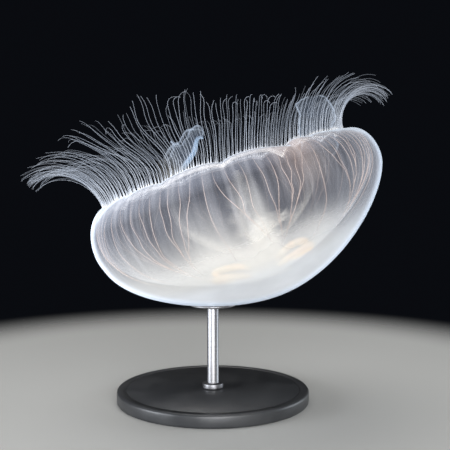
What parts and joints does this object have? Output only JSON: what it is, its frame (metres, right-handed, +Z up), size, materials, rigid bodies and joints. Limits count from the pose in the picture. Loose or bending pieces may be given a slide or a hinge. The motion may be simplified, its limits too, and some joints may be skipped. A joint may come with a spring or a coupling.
{
  "type": "jellyfish",
  "caption": "Life-size moon jellyfish model in mid-pulse, opening upward, with fine marginal tentacles, frilled oral arms and horseshoe gonads, on a rod stand.",
  "frame": {"origin": "centre of the stand base's underside", "axes": "+Z up; +X to the viewer's right and +Y away from the viewer, seen from the front; the bell's opening leans to -X and a little to +Y"},
  "size_m": [0.2193, 0.1778, 0.193],
  "materials": {
    "bell_gel": "clear milky gel, wet and smooth, with fine radial canals",
    "margin": "milky white scalloped edge with hair-fine tentacles",
    "mouth": "soft milky cream",
    "oral_arm": "soft milky white frill",
    "gonad": "cream to pale orange, finely pleated",
    "stand_base": "satin black",
    "stand_steel": "satin"
  },
  "bodies": {
    "root": {"bell": "bell_gel", "margin_lobe_1": "margin", "margin_lobe_2": "margin", "margin_lobe_3": "margin", "margin_lobe_4": "margin", "margin_lobe_5": "margin", "margin_lobe_6": "margin", "margin_lobe_7": "margin", "margin_lobe_8": "margin", "mouth": "mouth", "oral_arm_left_base": "oral_arm", "oral_arm_left_tip": "oral_arm", "oral_arm_right_base": "oral_arm", "oral_arm_right_tip": "oral_arm", "oral_arm_front_base": "oral_arm", "oral_arm_front_tip": "oral_arm", "oral_arm_back_base": "oral_arm", "oral_arm_back_tip": "oral_arm", "gonad_1": "gonad", "gonad_2": "gonad", "gonad_3": "gonad", "gonad_4": "gonad", "stand_base": "stand_base", "stand_rod": "stand_steel", "stand_saucer": "stand_steel"}
  },
  "joints": []
}
